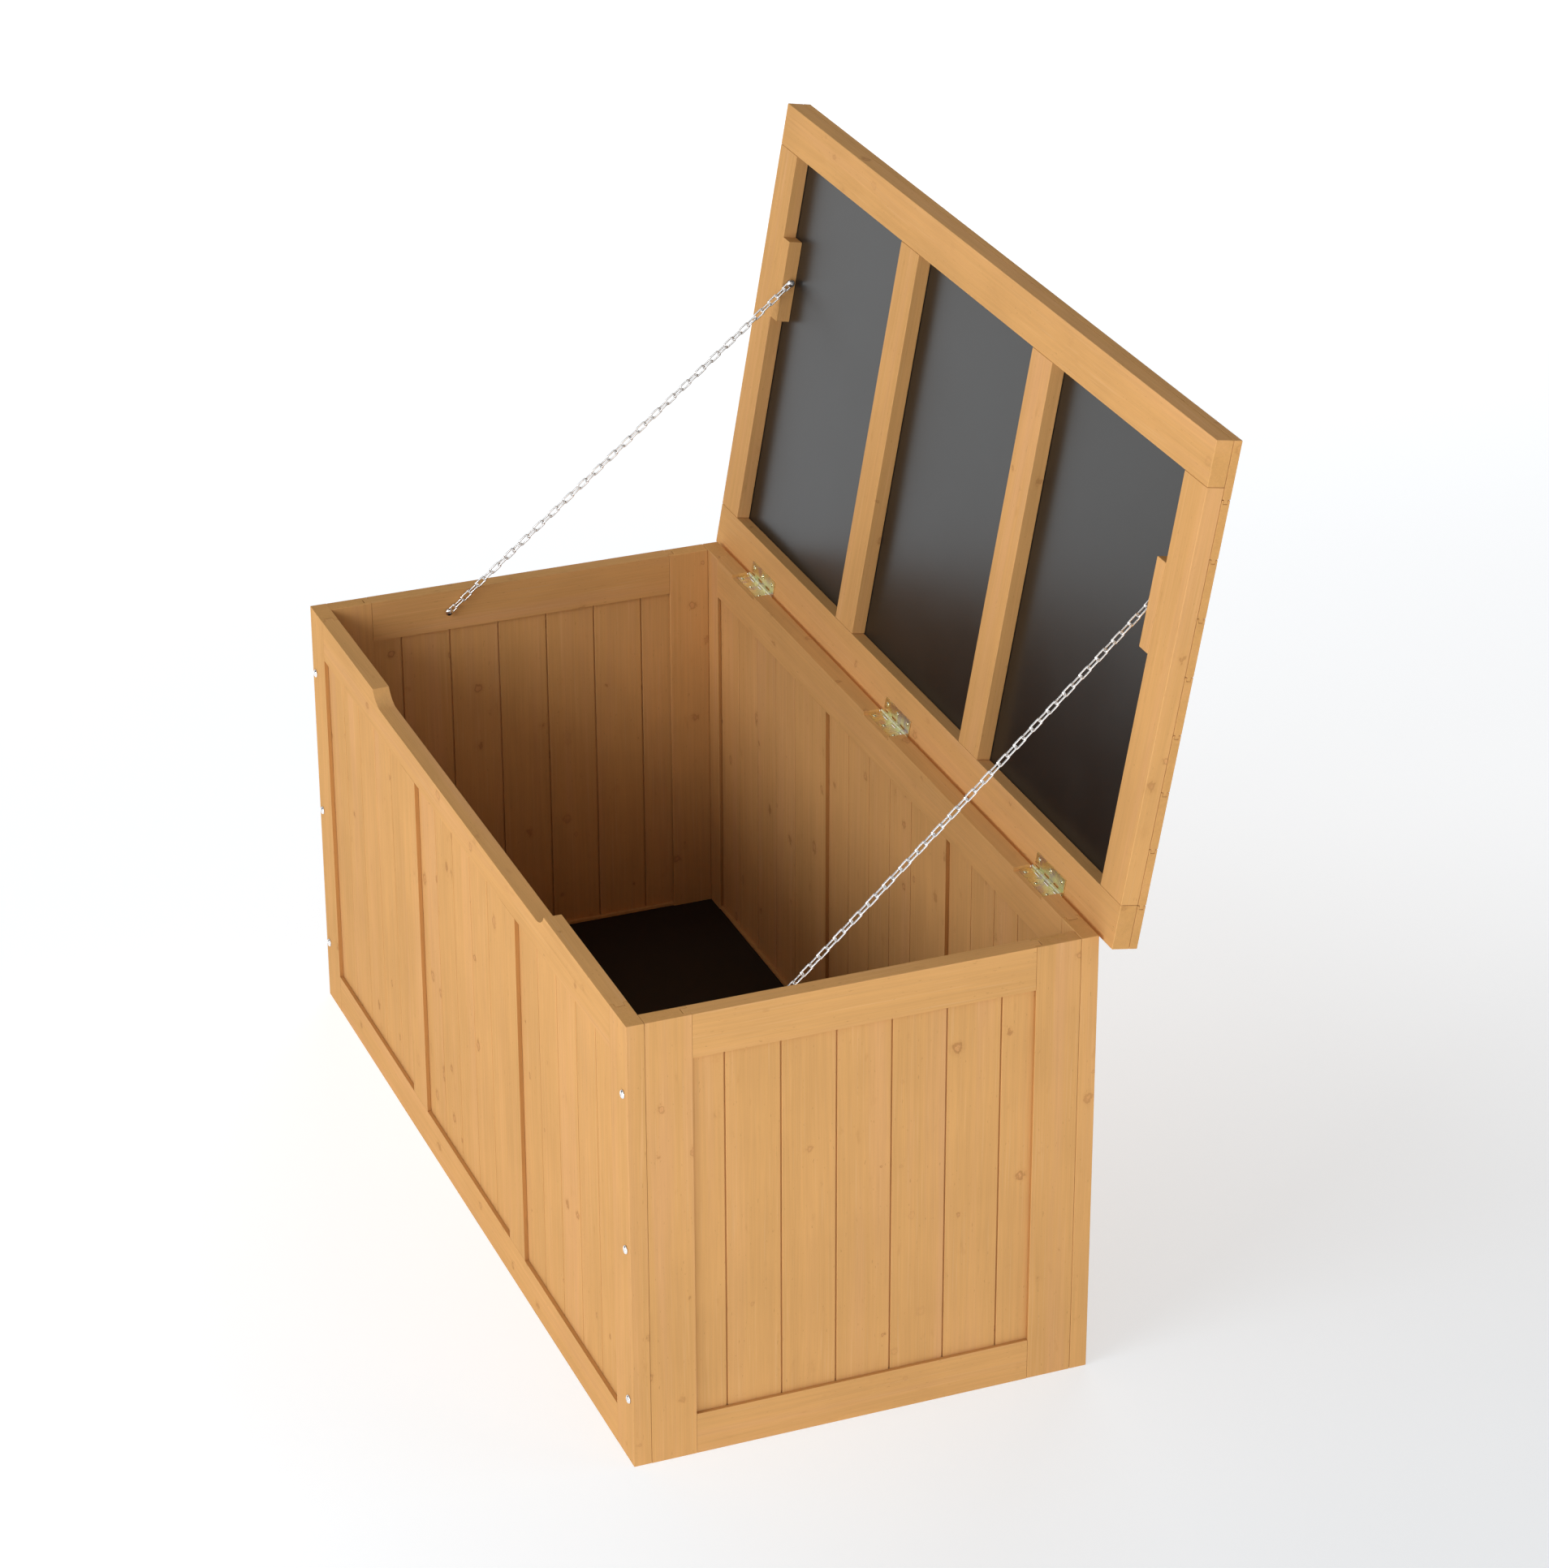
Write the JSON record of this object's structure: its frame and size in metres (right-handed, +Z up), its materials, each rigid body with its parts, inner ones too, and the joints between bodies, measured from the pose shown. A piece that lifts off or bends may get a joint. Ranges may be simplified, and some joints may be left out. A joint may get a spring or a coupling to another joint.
{
  "type": "wooden toy box",
  "caption": "Framed and boarded wooden toy box with a hinged boarded lid held open by stay chains and a finger notch in its front rail",
  "frame": {"origin": "centre of the whole open box's footprint, on the floor it stands on", "axes": "+X along the box's length to the right of a person facing the front, +Y from the front to the back, +Z up"},
  "size_m": [1.0346, 0.5916, 0.9681],
  "materials": {
    "frame_wood": "satin, clear oiled",
    "board_wood": "satin, clear oiled",
    "dark_liner": "satin",
    "yellow_zinc": "yellow zinc plated",
    "bright_steel": "bright zinc plated"
  },
  "bodies": {
    "carcass": {"front_left_stile": "frame_wood", "front_right_stile": "frame_wood", "front_top_rail": "frame_wood", "front_bottom_rail": "frame_wood", "front_muntin_left": "frame_wood", "front_muntin_right": "frame_wood", "front_boards_left": "board_wood", "front_boards_middle": "board_wood", "front_boards_right": "board_wood", "back_left_stile": "frame_wood", "back_right_stile": "frame_wood", "back_top_rail": "frame_wood", "back_bottom_rail": "frame_wood", "back_muntin_left": "frame_wood", "back_muntin_right": "frame_wood", "back_boards_left": "board_wood", "back_boards_middle": "board_wood", "back_boards_right": "board_wood", "left_front_stile": "frame_wood", "left_back_stile": "frame_wood", "left_top_rail": "frame_wood", "left_bottom_rail": "frame_wood", "left_boards": "board_wood", "right_front_stile": "frame_wood", "right_back_stile": "frame_wood", "right_top_rail": "frame_wood", "right_bottom_rail": "frame_wood", "right_boards": "board_wood", "floor_panel": "dark_liner", "front_left_screw_low": "bright_steel", "front_left_screw_middle": "bright_steel", "front_left_screw_high": "bright_steel", "front_right_screw_low": "bright_steel", "front_right_screw_middle": "bright_steel", "front_right_screw_high": "bright_steel", "chain_left": "bright_steel", "chain_right": "bright_steel", "chain_screw_left_rail": "bright_steel", "chain_screw_right_rail": "bright_steel", "hinge_left_box_leaf": "yellow_zinc", "hinge_left_pin": "yellow_zinc", "hinge_middle_box_leaf": "yellow_zinc", "hinge_middle_pin": "yellow_zinc", "hinge_right_box_leaf": "yellow_zinc", "hinge_right_pin": "yellow_zinc"},
    "lid": {"lid_front_rail": "frame_wood", "lid_back_rail": "frame_wood", "lid_left_stile": "frame_wood", "lid_right_stile": "frame_wood", "lid_muntin_left": "frame_wood", "lid_muntin_right": "frame_wood", "lid_liner": "dark_liner", "lid_deck": "board_wood", "chain_block_left": "frame_wood", "chain_block_right": "frame_wood", "chain_screw_left_block": "bright_steel", "chain_screw_right_block": "bright_steel", "hinge_left_lid_leaf": "yellow_zinc", "hinge_middle_lid_leaf": "yellow_zinc", "hinge_right_lid_leaf": "yellow_zinc"}
  },
  "joints": [
    {"name": "lid_hinge", "type": "hinge", "parent": "carcass", "child": "lid", "pos_m": [0, 0.18011, 0.4743], "axis": [1, 0, 0], "range_deg": [0, 99.94], "deforming": ["chain_left", "chain_right"]}
  ]
}
